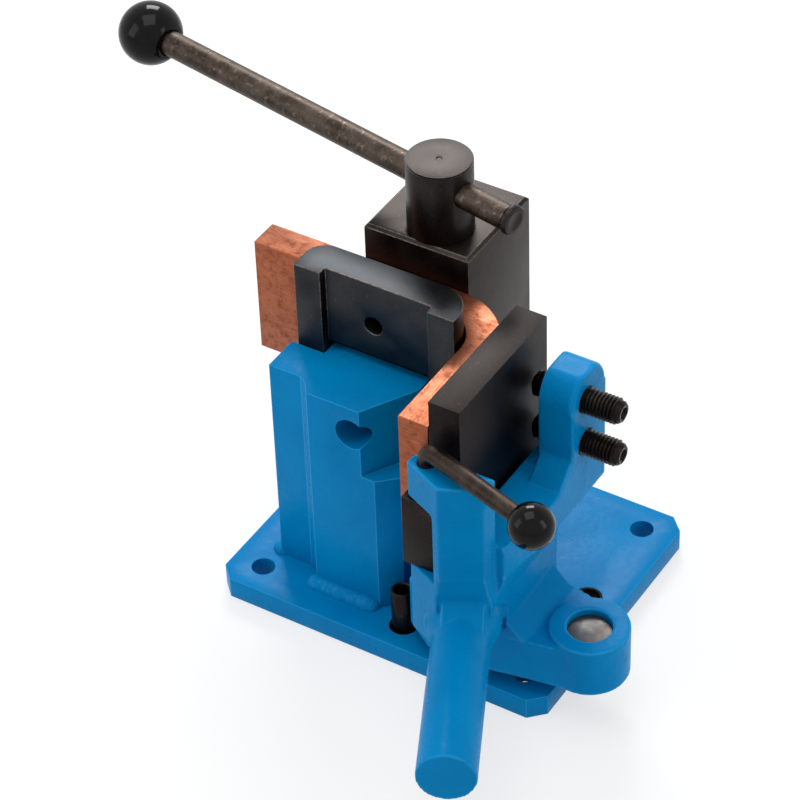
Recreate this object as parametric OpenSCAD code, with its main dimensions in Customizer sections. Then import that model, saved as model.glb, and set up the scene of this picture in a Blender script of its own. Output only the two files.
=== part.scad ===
// Eccentric bender for flat bar: a bench tool with a clamping jaw moved by an eccentric shaft
// and a swing arm that folds the bar round a bending die.
// X runs along the front edge of the base plate, Y from front to back, Z up.
// The origin is the middle of the bolt pattern, on the underside of the base plate.
// The swing arm is drawn at the end of its stroke, with the bar folded to a right angle.

/* [Base plate] */
// Length of the base plate along X
base_len = 170; // [166:1:200]
// Width of the base plate along Y
base_wid = 137; // [136:1:160]
// Thickness of the base plate
base_thk = 11; // [9:0.5:14]
// Cut across each corner of the base plate
base_corner = 7; // [2:0.5:10]
// Distance of the bolt holes from the left and right edges
bolt_edge_x = 16; // [13:1:18]
// Distance of the bolt holes from the front and rear edges
bolt_edge_y = 14.5; // [12:0.5:17]
// Diameter of the bolt holes
bolt_d = 11; // [7:0.5:13]

/* [Flat bar] */
// Thickness of the flat bar
bar_t = 15; // [10:0.5:16]
// Height of the flat bar as it stands on edge
bar_h = 60; // [40:1:62]
// Inner radius of the fold
bar_fold_r = 19; // [18:0.5:21]
// Length of the clamped side, from the inner corner to its end
bar_tail = 117.5; // [100:0.5:130]
// Length of the folded leg, from the inner corner to its end
bar_leg = 69.5; // [50:0.5:70]

/* [Column and bed] */
// Height of the bed on which the bar stands, above the base plate
bed_h = 82.7; // [80:0.1:86]
// Depth of the bed from the back of the die
bed_depth = 65.8; // [62:0.1:68]
// Height of the column above the base plate
column_h = 113; // [110:0.5:118]
// Depth of the die seat below the bed
die_seat = 7.7; // [6:0.1:9]
// Thickness of the bed table above the rear pocket
table_t = 32; // [26:1:36]

/* [Bending die] */
// Length of the die along X
die_len = 81; // [80:0.5:84]
// Thickness of the die at its flanges
die_t = 19.6; // [18.8:0.1:21]
// Height of the die
die_h = 82; // [78:0.5:86]
// Radius of the corner that folds the bar
die_r = 16; // [12:0.5:17]
// Radius of the other corner, for when the die is turned over
die_r_small = 10; // [6:0.5:12]
// Depth of the recess along the die's front face
die_recess = 4.3; // [2:0.1:6]

/* [Clamp jaw] */
// Length of the clamp block along X
block_len = 53; // [52:0.5:54]
// Depth of the clamp block along Y
block_depth = 53; // [51:0.5:54]
// Height of the clamp block
block_h = 78; // [74:0.5:82]
// Chamfer round the top of the clamp block
block_chamfer = 1.5; // [0.5:0.1:3]
// Throw of the eccentric
throw = 2.5; // [1.5:0.1:2.5]
// Radius of the eccentric
cam_r = 9.5; // [9.5:0.1:10]
// Radius of the shaft's lower journal
journal_r = 7; // [6:0.1:7]
// Radius of the shaft's head
head_r = 15; // [13:0.1:16]
// Height of the shaft's head
head_h = 36; // [34:0.5:42]

/* [Clamp lever] */
// Diameter of the lever bar
lever_d = 12; // [9:0.5:13]
// Length of the lever bar from the shaft to the knob's middle
lever_reach = 178; // [150:1:200]
// Length of the short side, from the shaft to its end
lever_stub = 40; // [36:1:46]
// Diameter of the lever's ball knob
lever_ball_d = 30; // [25:1:35]

/* [Swing arm] */
// Distance of the pivot from each outer face of the bar
pivot_in = 17.5; // [16.5:0.1:18]
// Radius of the pivot pin
pivot_r = 10; // [8:0.1:10]
// Radius of the hub round the pivot
hub_r = 16; // [15:0.1:16]
// Height of the shoe's rail above the base plate
rail_h = 73.5; // [72:0.1:75]
// Height of the arm's floor beside the shoe, above the rail
floor_h = 20.5; // [16:0.5:24]
// Height of the front post above the rail
post_h = 57.5; // [56:0.5:59]
// Radius of the handle
handle_r = 13; // [11:0.5:14]
// Length of the handle in front of the post
handle_len = 78; // [60:1:120]
// Radius of the knuckle
knuckle_r = 18; // [16:0.5:20]
// Thickness of the knuckle
knuckle_h = 25.5; // [20:0.5:26]
// Diameter of the knuckle pin
knuckle_pin_d = 20; // [14:0.5:22]
// Thickness of the upright that holds the set screws
upright_t = 17; // [14:0.5:18]
// Width of the upright
upright_w = 29.5; // [27:0.5:30]

/* [Presser shoe] */
// Thickness of the presser plate
plate_t = 15; // [14:0.5:15.5]
// Length of the presser plate
plate_len = 72.7; // [68:0.1:72.7]
// Height of the presser plate
plate_h = 83.2; // [78:0.1:90]
// Height of the lug in front of the presser plate
lug_h = 37; // [30:0.5:37]

/* [Screws and pins] */
// Diameter of the set screws
set_d = 12; // [8:0.5:12]
// Length of the set screws
set_len = 43; // [36:0.5:50]
// Distance between the two set screws
set_pitch = 23.5; // [20:0.5:26]
// Radius of the stop pin
stop_r = 5.2; // [4:0.1:5.2]
// Height of the stop pin above the base plate
stop_h = 22; // [18:0.5:26]
// Diameter of the cam rod
rod_d = 8; // [5:0.5:8]
// Length of the cam rod from its pin to the knob's middle
rod_reach = 64; // [50:1:75]
// Diameter of the cam knob
cam_ball_d = 20; // [16:0.5:22]

/* [Fits and gaps] */
// Radial play of a pin or shaft in its bore
fit = 0.05; // [0.02:0.01:0.08]
// Gap between flat faces that meet or slide
seat = 0.3; // [0.2:0.05:0.3]
// Gap between the head of a screw and the wall of its counterbore
head_play = 0.5; // [0.3:0.1:0.8]

/* [Hidden] */
$fn = 96;
// How far two pieces of one casting run into each other
cut = 0.01;
// Length of a cut that goes right through
through = 200;

// Inner faces of the bar: the leg's face lies at leg_x, the tail's face at tail_y
leg_x = 19.5;
tail_y = -3.5;
bed_z = base_thk + bed_h;
bar_z = bed_z + seat;
bar_end_y = tail_y - bar_leg;

// Die: its back face stands one gap in front of the bar
die_back = tail_y - seat;
die_x1 = leg_x - 2;
die_x0 = die_x1 - die_len;
die_front = die_back - die_t;
die_z = bed_z - die_seat + seat;
die_mid = [(die_x0 + die_x1) / 2, die_z + die_h / 2];
recess_x0 = die_x0 + 13.5;
recess_x1 = die_x1 - 13.5;
nose_gap = 0.4;
die_pocket = 8.8;

// Column: the front anvil, whose nose stands in the die's pocket
col_x0 = die_x0 - 3;
col_x1 = 0;
col_top = base_thk + column_h;
col_flange_y = -42.5;
col_front_y = -50.5;
col_step_x = -46;
col_step_y = -45;
col_step_run = 4;
notch_x = -15.2;
notch_y = -24.4;
corner_x = -8.6;
corner_y = -42.7;
ledge_z = 86.7;
nose_x0 = recess_x0 + nose_gap;
nose_y = die_front + die_pocket - nose_gap;
bed_x0 = col_x0 + 8;
bed_y1 = die_back + bed_depth;
pocket_x0 = -42;
pocket_x1 = -7;
pocket_y0 = 8;
weld_r = 4;
weld_end = 4;

// Screw that holds the die, and the die's second threaded hole
die_screw_aside = 3.2;
die_screw_drop = 18;
die_screw_x = die_mid[0] + die_screw_aside;
die_screw_z = die_mid[1] - die_screw_drop;
die_screw_r = 4;
die_screw_len = 22;
die_head_r = 6.5;
die_head_h = 8;
access_r = 7.8;
die_head_deep = 6;
die_thread_end = 3;
die_hole_more = 0.6;
pocket_top_gap = 4.4;

// Clamp block and eccentric shaft
block_x1 = 3.8;
block_x0 = block_x1 - block_len;
block_y = tail_y + bar_t + seat;
block_z = bed_z + seat;
block_top = block_z + block_h;
shaft_x = -19.2;
shaft_y = 27.4;
cam_phase = -135;
cam_x = throw * cos(cam_phase);
cam_y = throw * sin(cam_phase);
jaw_run = -2 * cam_y;
slot_play = 0.3;
slot_run = throw + cam_x + 0.4;
slot_back = 0.2;
bush_wall = 2.5;
key_w = 12;
key_len = 34;
key_x = -40;
key_y = 20;
key_deep = 5;
key_slot_more = 8;
key_play = 0.2;
table_z = bed_z - table_t;
shaft_washer_r = 11;
shaft_washer_h = 2.5;
shaft_nut_flats = 19;
shaft_nut_h = 10;
shaft_thread_r = 6;
shaft_end = 3;
shaft_step = 0.2;
head_edge = 1.5;
dimple_r = 1.6;
dimple_h = 1.2;
lever_drop = 13;

// Clamp lever: it runs through the head, turned by lever_turn from the X axis
lever_turn = -10.7;
lever_z = block_top + seat + head_h - lever_drop;
cap_r = lever_d / 2 + 0.8;
cap_h = 3;
cap_deep = 5;
cap_play = 0.5;
knob_neck = 2;
cap_pin_r = 2.5;

// Swing arm: its pivot, and the radius on which the stop holes lie
pivot_x = leg_x + bar_t - pivot_in;
pivot_y = tail_y + bar_t - pivot_in;
washer_h = 2;
hub_z = base_thk + washer_h + 0.1;
hub_top = 72;
hub_play = 0.2;
pivot_bush_r = pivot_r + bush_wall;
pivot_bush_h = 16;
flange_r = 14;
flange_h = 5;
flange_z = 0.6;
pivot_screw_r = 4;
pivot_screw_deep = 24;
pivot_screw_len = 24;
pivot_head_r = 6.5;
pivot_head_h = 7;
pivot_washer_h = 2.5;
rail_z = base_thk + rail_h;
floor_z = rail_z + floor_h;
post_top = rail_z + post_h;
post_foot = 47;
arm_foot = 19;
ear_z = rail_z + lug_h + 1.8;
knuckle = [95.8, -43.7];
knuckle_z = arm_foot;
knuckle_step = 2.5;
knuckle_pin_foot = 1;
knuckle_pin_drop = 3;
web_h = knuckle_h - knuckle_step;
handle_turn = 26.3;
handle_root = [60, -92.5];
handle_z = 57;
handle_inside = 30;
stop_radius = [49.7, 53.2];
stop_bore_r = stop_r - 1.6;
stop_wall = 1.4;
stop_hole_r = stop_r + stop_wall;
stop_foot = 2;
stop_bush_z = 3;
stop_edge = 15.4;
stop_angle = [-102.1, acos((base_len / 2 - stop_edge - pivot_x) / stop_radius[1])];
heel_gap = 1.4;
stop_at = [pivot_x + stop_radius[0] * cos(stop_angle[0]), pivot_y + stop_radius[0] * sin(stop_angle[0])];
heel_x = stop_at[0] + stop_r + heel_gap;

// Presser shoe: the plate stands one gap behind the folded leg; plate_reach runs back from its end
plate_x = leg_x + bar_t + seat;
plate_reach = 72.7;
plate_y1 = bar_end_y + plate_reach;
plate_y0 = plate_y1 - plate_len;
plate_z = rail_z + seat;
lug_t = 12.2;
lug_x = plate_x - 7;
lug_relief = 2;
foot_depth = 1;
lug_y = plate_y0 - lug_t;
shoe_run = 1.4;
slot_x = plate_x + plate_t + shoe_run;
foot_screw_r = 1.8;
foot_screw_len = 16;
foot_head_r = 2.8;
foot_head_h = 4;
foot_screw_x = plate_x + plate_t - 3.6;
foot_screw_z = [plate_z + 8, plate_z + lug_h - 10];

// Cam pin that draws the shoe back
pin_x = plate_x + 3.2;
pin_y = bar_end_y - 7.6;
pin_r = 4;
pin_throw = 0.7;
pin_phase = 135;
pin_cam_r = 3;
pin_foot_r = pin_cam_r - pin_throw;
pin_deep = 8;
pin_step = 0.9;
pin_lift = 0.5;
rod_lift = 0.6;
slot_more = 0.7;
slot_less = 0.1;
rod_rise = 7;
rod_z = post_top + rod_rise;
rod_turn = -17.3;
rod_bend = 6;

// Set screws
set_gap = 1.2;
set_x = plate_x + plate_t + set_gap;
set_y = -12.5;
set_edge = 1.2;
set_rise = 36.5;
set_z = floor_z + set_rise;
upright_back = 9.2;
upright_x = plate_x + plate_t + upright_back;
upright_front = 12;
upright_y0 = set_y - upright_front;
upright_x1 = upright_x + upright_t;
upright_edge = 1.5;
upright_flat = 1.3;
rear_y = upright_y0 + upright_w;

// Arm casting: the side of its low body, the underside of its deck and the back of its ear
body_x1 = 66.5;
deck_z = 87;
slope_z = 68;
post_x0 = 30.5;
post_x1 = 72.5;
post_left = [20, 8.8];
post_face = 19;
post_side = post_x1 - 4;
post_corner_in = 10;
post_corner_drop = 12;
post_corner_end = 2;
ear_y1 = bar_end_y - 2.8;
lug_pocket_x = 46;
arm_back_y = -21;
front_y = -93.2;
heel_y = -46;
rail_heel_x = 18;
rail_heel_drop = 6;
rail_heel = [rail_heel_x, heel_y - rail_heel_drop];
rail_front_drop = 4;
rail_front_y = ear_y1 - rail_front_drop;
inner_x = 36;
rail_back_y = -25;

// The post is cut back round the handle's root, right of its left wall: how far to the left of
// the handle the cut starts, how deep it runs in from the handle's foot, how far above the
// handle's middle its ceiling ends, and the steps of the rounded edge above
root_side = 10.6;
root_deep = 23;
root_rise = 3;
root_y = -67.3;
root_z = 90;
root_edge = [[0.6, 0], [1.8, -8], [3.8, -15]];

// A box between two corners
module box(low, high) {
    translate(low) cube([for (i = [0:2]) high[i] - low[i]]);
}

// A plate of the given outline between two heights
module slab(points, z0, z1) {
    translate([0, 0, z0]) linear_extrude(z1 - z0) polygon(points);
}

// A cylinder that lies along X, from x0 to x1
module rod_x(r, x0, x1, y, z) {
    translate([x0, y, z]) rotate([0, 90, 0]) cylinder(r = r, h = x1 - x0);
}

// A cylinder that lies along Y, from y0 to y1
module rod_y(r, y0, y1, x, z) {
    translate([x, y0, z]) rotate([-90, 0, 0]) cylinder(r = r, h = y1 - y0);
}

// A ring with a bore
module ring(outer, inner, h) {
    difference() {
        cylinder(r = outer, h = h);
        translate([0, 0, -1]) cylinder(r = inner, h = h + 2);
    }
}

// A hexagon prism, measured across its flats
module hex(flats, h) {
    cylinder(r = flats / sqrt(3), h = h, $fn = 6);
}

// A cap screw that points up: the head at the bottom, with a hexagon socket
module cap_screw(shank_r, shank_len, screw_head_r, screw_head_h) {
    difference() {
        union() {
            cylinder(r = screw_head_r, h = screw_head_h);
            cylinder(r = shank_r, h = screw_head_h + shank_len);
        }
        translate([0, 0, -cut]) hex(screw_head_r, screw_head_h * 0.55);
    }
}

// A set screw along Z with a chamfered end, a hexagon socket and a rounded point
module set_screw() {
    r = set_d / 2;
    difference() {
        union() {
            translate([0, 0, set_edge]) cylinder(r = r, h = set_len - 2 * set_edge);
            cylinder(r1 = r - set_edge * 1.6, r2 = r, h = set_edge);
            translate([0, 0, set_len - set_edge]) cylinder(r1 = r, r2 = r - set_edge, h = set_edge);
        }
        translate([0, 0, set_len - r]) hex(r * 1.05, r + 1);
    }
}

// A ball knob round a rod that comes from below and ends at the middle of the ball
module ball_knob(d, neck_r, bore_r, end_gap) {
    flat = sqrt(d * d / 4 - neck_r * neck_r);
    difference() {
        intersection() {
            sphere(r = d / 2);
            translate([0, 0, -flat]) cylinder(r = d, h = flat + d);
        }
        translate([0, 0, -d]) cylinder(r = bore_r, h = d + end_gap);
    }
}

module place_pivot() {
    translate([pivot_x, pivot_y, 0]) children();
}

module place_shaft() {
    translate([shaft_x, shaft_y, 0]) children();
}

module place_stop(i) {
    place_pivot() rotate(stop_angle[i]) translate([stop_radius[i], 0, 0]) rotate(-stop_angle[i])
        children();
}

// Puts a part that is drawn along Z onto the lever's axis, with the knob side along -X
module place_lever() {
    translate([shaft_x, shaft_y, lever_z]) rotate(lever_turn) rotate([0, 90, 0]) children();
}

module place_handle() {
    translate([handle_root[0], handle_root[1], handle_z]) rotate(handle_turn) rotate([90, 0, 0])
        children();
}

module base_outline() {
    x = base_len / 2;
    y = base_wid / 2;
    c = base_corner;
    polygon([[c - x, -y], [x - c, -y], [x, c - y], [x, y - c], [x - c, y], [c - x, y], [-x, y - c],
        [-x, c - y]]);
}

module base_plate() {
    color("#0072B5") difference() {
        linear_extrude(base_thk) base_outline();
        for (sx = [-1, 1], sy = [-1, 1])
            translate([sx * (base_len / 2 - bolt_edge_x), sy * (base_wid / 2 - bolt_edge_y), -1])
                cylinder(d = bolt_d, h = base_thk + 2);
        for (i = [0, 1]) place_stop(i) translate([0, 0, -1])
            cylinder(r = stop_hole_r, h = base_thk + 2);
        place_pivot() {
            translate([0, 0, -1]) cylinder(r = pivot_r + fit, h = base_thk + 2);
            translate([0, 0, -1]) cylinder(r = flange_r + fit, h = 1 + flange_h + flange_z);
        }
    }
}

// Outline of the front anvil, with the side facing the swing arm cut back by front_x
module anvil_points(front_x, side_y, back_y) {
    polygon([[col_x0, col_flange_y], [col_step_x - col_step_run, col_flange_y],
        [col_step_x, col_step_y], [col_step_x + col_step_run, col_front_y],
        [front_x, col_front_y], [col_x1, side_y],
        [col_x1, back_y], [col_x0, back_y]]);
}

module column() {
    color("#0072B5") difference() {
        union() {
            translate([0, 0, base_thk]) linear_extrude(ledge_z - base_thk)
                anvil_points(corner_x, corner_y, die_front - seat);
            translate([0, 0, ledge_z - cut]) linear_extrude(col_top - ledge_z + cut)
                anvil_points(notch_x, notch_y, die_front - seat);
            box([col_x0, die_front - 1, base_thk], [col_x1, die_back + 1, die_z - seat]);
            box([bed_x0, die_back + 0.5, base_thk], [col_x1, bed_y1, bed_z]);
            box([nose_x0, die_front - 1, die_z - seat - 1], [col_x1, nose_y, col_top]);
        }
        rod_y(access_r, -through, die_front - die_head_deep, die_screw_x, die_screw_z);
        rod_y(die_screw_r + head_play, -through, nose_y + 1, die_screw_x, die_screw_z);
        box([pocket_x0, pocket_y0, base_thk - 1], [pocket_x1, bed_y1 + 1, table_z]);
        place_shaft() translate([0, 0, table_z - 1])
            cylinder(r = journal_r + bush_wall + fit, h = table_t + 2);
        box([key_x - key_w / 2 - key_play, key_y - key_slot_more, bed_z - key_deep - key_play],
            [key_x + key_w / 2 + key_play, bed_y1 + 1, bed_z + 1]);
    }
}

// Weld beads along the foot of the column: one in front, one on the left, one behind
module weld_beads() {
    r = weld_r;
    color("#0072B5") intersection() {
        union() {
            rod_x(r, col_step_x + weld_end, corner_x - weld_end, col_front_y - 1, base_thk);
            rod_y(r, col_flange_y + weld_end, die_front - weld_end, col_x0 - 1, base_thk);
            rod_x(r, bed_x0 + weld_end, pocket_x0 - weld_end, bed_y1 + 1, base_thk);
        }
        difference() {
            box([-through, -through, base_thk], [through, through, base_thk + r]);
            box([col_x0, col_front_y, 0], [col_x1, die_back + 1, through]);
            box([bed_x0, die_front, 0], [col_x1, bed_y1, through]);
        }
    }
}

module die_outline() {
    x0 = die_x0;
    x1 = die_x1;
    r = die_r;
    s = die_r_small;
    intersection() {
        translate([x0, die_front]) square([die_len, die_t]);
        union() {
            translate([x0, die_front]) square([die_len, die_t - r]);
            translate([x0, die_front]) square([die_len - r, die_t - s]);
            translate([x0 + s, die_front]) square([die_len - r - s, die_t]);
            translate([x0 + s, die_back - s]) circle(r = s);
            translate([x1 - r, die_back - r]) circle(r = r);
        }
    }
}

module bending_die() {
    hole_x = 2 * die_mid[0] - die_screw_x;
    hole_z = 2 * die_mid[1] - die_screw_z;
    color("#5F6163") difference() {
        translate([0, 0, die_z]) linear_extrude(die_h) die_outline();
        box([recess_x0, die_front - 1, die_z - 1], [recess_x1, die_front + die_recess, die_z + die_h + 1]);
        box([recess_x0, die_front - 1, die_z - 1],
            [recess_x1, die_front + die_pocket, col_top + pocket_top_gap]);
        rod_y(die_screw_r, -through, die_back - die_thread_end, die_screw_x, die_screw_z);
        rod_y(die_screw_r + die_hole_more, -through, die_back - die_thread_end, hole_x, hole_z);
    }
}

module die_screw() {
    head_y = die_front - die_head_deep;
    color("#3A3636") translate([die_screw_x, head_y - die_head_h, die_screw_z]) rotate([-90, 0, 0])
        cap_screw(die_screw_r - fit, die_screw_len, die_head_r, die_head_h);
}

module shaft_bush() {
    color("#B08D4A") place_shaft() translate([0, 0, table_z])
        ring(journal_r + bush_wall, journal_r + fit, table_t);
}

module pivot_pin() {
    color("#8A8785") place_pivot() difference() {
        union() {
            translate([0, 0, flange_z]) cylinder(r = flange_r, h = flange_h);
            translate([0, 0, flange_z]) cylinder(r = pivot_r, h = hub_top + hub_play - flange_z);
        }
        translate([0, 0, hub_top - pivot_screw_deep]) cylinder(r = pivot_screw_r + fit, h = through);
    }
}

module thrust_washer() {
    color("#B08D4A") place_pivot() translate([0, 0, base_thk])
        ring(hub_r - 1, pivot_r + fit, washer_h);
}

module pivot_washer() {
    color("#3A3636") place_pivot() translate([0, 0, hub_top + hub_play])
        ring(hub_r - 2, pivot_screw_r + seat, pivot_washer_h);
}

module pivot_screw() {
    color("#3A3636") place_pivot()
        translate([0, 0, hub_top + hub_play + pivot_washer_h + pivot_head_h]) mirror([0, 0, 1])
            cap_screw(pivot_screw_r, pivot_screw_len, pivot_head_r, pivot_head_h);
}

module stop_bushes() {
    color("#B5653F") for (i = [0, 1]) place_stop(i) translate([0, 0, stop_bush_z])
        ring(stop_hole_r - fit, stop_r + fit, base_thk - stop_bush_z);
}

module stop_pin() {
    color("#2E2A28") place_stop(0) translate([0, 0, stop_foot])
        ring(stop_r, stop_bore_r, base_thk - stop_foot + stop_h);
}

module clamp_block() {
    c = block_chamfer * sqrt(2);
    y1 = block_y + block_depth;
    mid_x = (block_x0 + block_x1) / 2;
    mid_y = (block_y + y1) / 2;
    color("#3A3636") difference() {
        box([block_x0, block_y, block_z], [block_x1, y1, block_top]);
        for (x = [block_x0, block_x1]) translate([x, mid_y, block_top]) rotate([0, 45, 0])
            cube([c, block_depth + 2, c], center = true);
        for (y = [block_y, y1]) translate([mid_x, y, block_top]) rotate([45, 0, 0])
            cube([block_len + 2, c, c], center = true);
        // The eccentric's hole is drawn out to the left, so that it moves the block along Y alone
        for (dx = [-slot_run, slot_back])
            translate([shaft_x + cam_x + dx, shaft_y + cam_y, block_z - 1])
                cylinder(r = cam_r + slot_play, h = block_h + 2);
        translate([shaft_x + cam_x - slot_run, shaft_y + cam_y - cam_r - slot_play, block_z - 1])
            cube([slot_run + slot_back, 2 * (cam_r + slot_play), block_h + 2]);
        box([key_x - key_w / 2 - fit, key_y - jaw_run - seat, block_z - 1],
            [key_x + key_w / 2 + fit, key_y + key_len + fit, block_z + key_deep]);
    }
}

module jaw_key() {
    color("#6A6765") box([key_x - key_w / 2, key_y, bed_z - key_deep],
        [key_x + key_w / 2, key_y + key_len, block_z + key_deep - fit]);
}

module eccentric_shaft() {
    head_z = block_top + seat;
    color("#3A3636") difference() {
        union() {
            place_shaft() translate([0, 0, table_z - shaft_washer_h - shaft_nut_h - shaft_end])
                cylinder(r = shaft_thread_r, h = shaft_washer_h + shaft_nut_h + shaft_end);
            place_shaft() translate([0, 0, table_z - shaft_step])
                cylinder(r = journal_r, h = table_t + shaft_step + 2 * seat);
            translate([shaft_x + cam_x, shaft_y + cam_y, bed_z + 2 * seat])
                cylinder(r = cam_r, h = head_z - bed_z);
            place_shaft() translate([0, 0, head_z]) cylinder(r = head_r, h = head_h - head_edge);
            place_shaft() translate([0, 0, head_z + head_h - head_edge])
                cylinder(r1 = head_r, r2 = head_r - head_edge, h = head_edge);
        }
        place_lever() translate([0, 0, -through / 2]) cylinder(d = lever_d + 2 * fit, h = through);
        place_shaft() translate([0, 0, head_z + head_h - dimple_h])
            cylinder(r1 = 0.1, r2 = dimple_r, h = dimple_h + 0.1);
    }
}

module shaft_washer() {
    color("#6A6765") place_shaft() translate([0, 0, table_z - shaft_step - shaft_washer_h])
        ring(shaft_washer_r, shaft_thread_r + fit, shaft_washer_h);
}

module shaft_nut() {
    color("#6A6765") place_shaft()
        translate([0, 0, table_z - shaft_step - shaft_washer_h - shaft_nut_h]) difference() {
            hex(shaft_nut_flats, shaft_nut_h);
            translate([0, 0, -1]) cylinder(r = shaft_thread_r + fit, h = shaft_nut_h + 2);
        }
}

module lever_bar() {
    color("#6A5E55") place_lever() difference() {
        translate([0, 0, -lever_reach]) cylinder(d = lever_d, h = lever_reach + lever_stub);
        translate([0, 0, lever_stub - cap_deep]) cylinder(r = cap_pin_r + fit, h = through);
    }
}

module lever_cap() {
    color("#3A3636") place_lever() {
        translate([0, 0, lever_stub]) cylinder(r = cap_r, h = cap_h);
        translate([0, 0, lever_stub - cap_deep + cap_play]) cylinder(r = cap_pin_r, h = cap_deep);
    }
}

module lever_knob() {
    color("#1B1A1A") place_lever() translate([0, 0, -lever_reach]) rotate([180, 0, 0])
        ball_knob(lever_ball_d, lever_d / 2 + knob_neck, lever_d / 2 + fit, seat);
}

// Outline of the arm's low body, from the hub to the heel that meets the stop pin
function low_body() = [[pivot_x - 15.4, pivot_y - 4], [heel_x, heel_y], [heel_x, heel_y - 13],
    [28, root_y - 1.2], [body_x1 - 6, root_y], [body_x1, root_y + 1.3], [body_x1, arm_back_y],
    [inner_x, pivot_y + 8], [pivot_x, pivot_y + hub_r - 0.5]];

// Outline of the arm's body under the shoe
function rail_body() = [[pivot_x - 13, pivot_y - 9], rail_heel, [post_x0, rail_front_y],
    [body_x1, rail_front_y], [body_x1, arm_back_y], [inner_x + 4, pivot_y + 12],
    [pivot_x, pivot_y + hub_r - 0.5]];

// A point on the post's front face, which stands square to the handle
function on_face(run) = [post_x0 + post_left[0] + run * cos(handle_turn),
    front_y + run * sin(handle_turn)];

// How far the front face lies behind the handle's foot
face_back = (handle_root[0] - on_face(0)[0]) * sin(handle_turn)
    - (handle_root[1] - on_face(0)[1]) * cos(handle_turn);

// Outline of the front post
function post_body() = [[post_x0, front_y + post_left[1]], on_face(0), on_face(post_face),
    [post_side, ear_y1], [post_x0 + 4, ear_y1], [post_x0, rail_front_y]];

// The slanting facet at the post's upper right corner
module post_corner() {
    start = on_face(post_corner_in);
    low = on_face(post_face);
    back = [post_side, ear_y1 - post_corner_end];
    normal = cross([low[0] - start[0], low[1] - start[1], -post_corner_drop],
        [back[0] - start[0], back[1] - start[1], 0]);
    translate([start[0], start[1], post_top])
        rotate([0, acos(normal[2] / norm(normal)), atan2(normal[1], normal[0])])
        translate([-through / 2, -through / 2, 0]) cube(through);
}

// The upright that holds the set screws: its round top ends in a narrow flat, its outer side in
// a cut edge
module upright() {
    r = upright_w / 2;
    mid_y = upright_y0 + r;
    box([upright_x, upright_y0, deck_z], [upright_x1, rear_y, set_z]);
    difference() {
        union() {
            rod_x(r, upright_x, upright_x1 - upright_edge, mid_y, set_z);
            translate([upright_x1 - upright_edge, mid_y, set_z]) rotate([0, 90, 0])
                cylinder(r1 = r, r2 = r - upright_edge, h = upright_edge);
        }
        box([upright_x - 1, upright_y0, set_z + r - upright_flat], [upright_x1 + 1, rear_y, through]);
    }
}

// The deck behind the shoe, with the slope that leads from the low body out to its edge
module deck() {
    slab([[slot_x, ear_y1 - 1], [post_x1, ear_y1 - 1], [upright_x1, heel_y - 4],
        [upright_x1, rear_y], [slot_x, rear_y]], deck_z, floor_z);
    translate([0, arm_back_y, 0]) rotate([90, 0, 0]) linear_extrude(arm_back_y - ear_y1)
        polygon([[slot_x, slope_z], [body_x1, slope_z], [post_x1, deck_z + cut],
            [slot_x, deck_z + cut]]);
}

// The handle starts inside the casting, far enough back to run into the body behind the post
module handle() {
    place_handle() translate([0, 0, -handle_inside])
        cylinder(r = handle_r, h = handle_len + handle_inside);
}

// What is taken off the front of the post below its face
module root_cut() {
    edge = [for (p = root_edge) [face_back + p[0], root_z + p[1]]];
    translate([handle_root[0], handle_root[1], 0]) rotate(handle_turn)
        translate([-root_side, 0, 0]) rotate([90, 0, 90]) linear_extrude(through)
        polygon([[-through, root_z], edge[0], edge[1], edge[2], [root_deep, handle_z + root_rise],
            [root_deep, post_foot - 1], [-through, post_foot - 1]]);
}

module swing_arm() {
    color("#0072B5") difference() {
        union() {
            place_pivot() translate([0, 0, hub_z]) cylinder(r = hub_r, h = hub_top - hub_z);
            slab(low_body(), arm_foot, post_foot + cut);
            difference() {
                union() {
                    slab(rail_body(), post_foot, hub_top);
                    slab(post_body(), post_foot, post_top);
                }
                root_cut();
                post_corner();
            }
            slab([rail_heel, [post_x0, rail_front_y], [slot_x + 1, rail_front_y],
                [slot_x + 1, rail_back_y], [inner_x, rail_back_y]], hub_top - cut, rail_z);
            box([inner_x, rail_back_y - cut, hub_top - cut], [slot_x + 1, rear_y, rail_z]);
            deck();
            box([slot_x, ear_y1 - 1, hub_top - cut], [body_x1, arm_back_y, deck_z + cut]);
            box([slot_x, arm_back_y - cut, hub_top - cut], [slot_x + 9, rear_y, deck_z + cut]);
            upright();
            slab([[body_x1 - 8, root_y], [knuckle[0], knuckle[1] - knuckle_r + 1],
                [knuckle[0], knuckle[1] + knuckle_r - 1], [body_x1 - 1, arm_back_y]],
                knuckle_z, knuckle_z + web_h);
            translate([knuckle[0], knuckle[1], knuckle_z]) cylinder(r = knuckle_r, h = knuckle_h);
            handle();
        }
        // Way of the presser shoe, with the pocket for its lug under the ear
        box([0, ear_y1, rail_z], [slot_x, through, through]);
        box([0, lug_y - seat, rail_z], [slot_x, ear_y1 + 1, ear_z]);
        box([0, -through, rail_z], [lug_pocket_x, lug_y, ear_z]);
        place_pivot() cylinder(r = pivot_bush_r + fit, h = through);
        translate([knuckle[0], knuckle[1], 0]) cylinder(d = knuckle_pin_d + 2 * fit, h = through);
        translate([pin_x, pin_y, ear_z - 1]) cylinder(r = pin_r + fit, h = through);
        translate([pin_x, pin_y, rail_z - pin_deep - seat]) cylinder(r = pin_foot_r + fit, h = through);
        for (dz = [0, -set_pitch])
            rod_x(set_d / 2 + fit, upright_x - 1, upright_x1 + 1, set_y, set_z + dz);
    }
}

module pivot_bush_lower() {
    color("#B08D4A") place_pivot() translate([0, 0, hub_z])
        ring(pivot_bush_r, pivot_r + fit, pivot_bush_h);
}

module pivot_bush_upper() {
    color("#B08D4A") place_pivot() translate([0, 0, hub_top - pivot_bush_h])
        ring(pivot_bush_r, pivot_r + fit, pivot_bush_h);
}

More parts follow.
